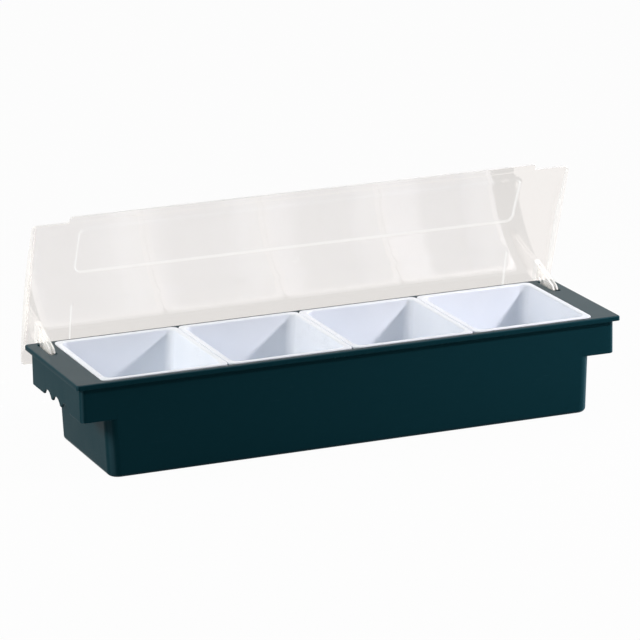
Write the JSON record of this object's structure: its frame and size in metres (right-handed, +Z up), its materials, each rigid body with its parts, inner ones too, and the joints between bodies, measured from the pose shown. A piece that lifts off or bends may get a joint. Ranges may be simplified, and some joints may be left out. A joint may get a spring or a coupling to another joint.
{
  "type": "bar garnish tray",
  "caption": "Long condiment tray with a winged dark tub, a row of lift-out white pans and a clear domed lid that hinges open at the back.",
  "frame": {"origin": "centre of the underside of the tub, on the surface that the tray stands on", "axes": "+X along the tray to the right, +Y to the back where the lid is hinged, +Z up"},
  "size_m": [0.495, 0.1524, 0.2016],
  "materials": {
    "tray": "satin moulded plastic, very dark blue-green",
    "lid": "clear polished plastic",
    "inserts": "white moulded plastic"
  },
  "bodies": {
    "tray": {"tray": "tray"},
    "lid": {"lid": "lid"},
    "insert_1": {"insert_1": "inserts"},
    "insert_2": {"insert_2": "inserts"},
    "insert_3": {"insert_3": "inserts"},
    "insert_4": {"insert_4": "inserts"}
  },
  "joints": [
    {"name": "lid_hinge", "type": "hinge", "parent": "tray", "child": "lid", "pos_m": [0, 0.0586, 0.0672], "axis": [-1, 0, 0], "range_deg": [-70, 0]},
    {"name": "insert_1_lift", "type": "slide", "parent": "tray", "child": "insert_1", "axis": [0, -0.1392, 0.9903], "range_m": [0, 0.056]},
    {"name": "insert_2_lift", "type": "slide", "parent": "tray", "child": "insert_2", "axis": [0, -0.1392, 0.9903], "range_m": [0, 0.056]},
    {"name": "insert_3_lift", "type": "slide", "parent": "tray", "child": "insert_3", "axis": [0, -0.1392, 0.9903], "range_m": [0, 0.056]},
    {"name": "insert_4_lift", "type": "slide", "parent": "tray", "child": "insert_4", "axis": [0, -0.1392, 0.9903], "range_m": [0, 0.056]}
  ]
}
